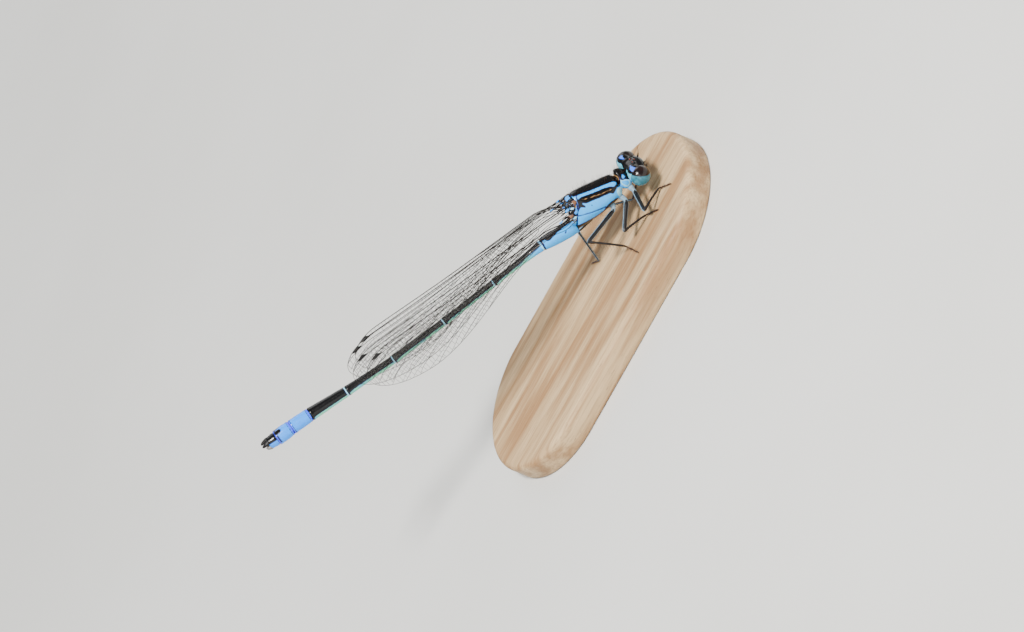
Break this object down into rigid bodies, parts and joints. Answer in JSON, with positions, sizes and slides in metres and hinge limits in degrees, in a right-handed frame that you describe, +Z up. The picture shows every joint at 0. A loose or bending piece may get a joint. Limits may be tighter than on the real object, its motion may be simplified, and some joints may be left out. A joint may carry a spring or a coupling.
{
  "type": "damselfly model",
  "caption": "Life-size still model of a male damselfly at rest with closed wings, standing on a small flat oval base.",
  "frame": {"origin": "middle of the base's underside", "axes": "+X the way the animal faces, +Y its left, +Z up"},
  "size_m": [0.0327, 0.013, 0.019],
  "materials": {
    "cuticle_blue": "satin pale blue with black marks",
    "cuticle_black": "satin black with blue marks",
    "cuticle_green": "satin black above and pale green along the sides",
    "eye": "glossy, dark brown above and blue-green below",
    "wing": "clear glossy membrane with dark veins",
    "leg": "satin, dark stripe along pale blue-grey",
    "wood": "fine-grained, matt oiled"
  },
  "bodies": {
    "root": {"stand_base": "wood", "head": "cuticle_black", "eye_left": "eye", "eye_right": "eye", "antenna_left": "cuticle_black", "antenna_right": "cuticle_black", "prothorax": "cuticle_black", "thorax": "cuticle_blue", "abdomen_1_2": "cuticle_blue", "abdomen_3": "cuticle_green", "abdomen_4": "cuticle_green", "abdomen_5": "cuticle_green", "abdomen_6": "cuticle_green", "abdomen_7": "cuticle_green", "abdomen_8": "cuticle_blue", "abdomen_9": "cuticle_blue", "abdomen_10": "cuticle_black", "forewing_left": "wing", "forewing_right": "wing", "hindwing_left": "wing", "hindwing_right": "wing", "leg_fore_left": "leg", "leg_fore_right": "leg", "leg_mid_left": "leg", "leg_mid_right": "leg", "leg_hind_left": "leg", "leg_hind_right": "leg"}
  },
  "joints": []
}
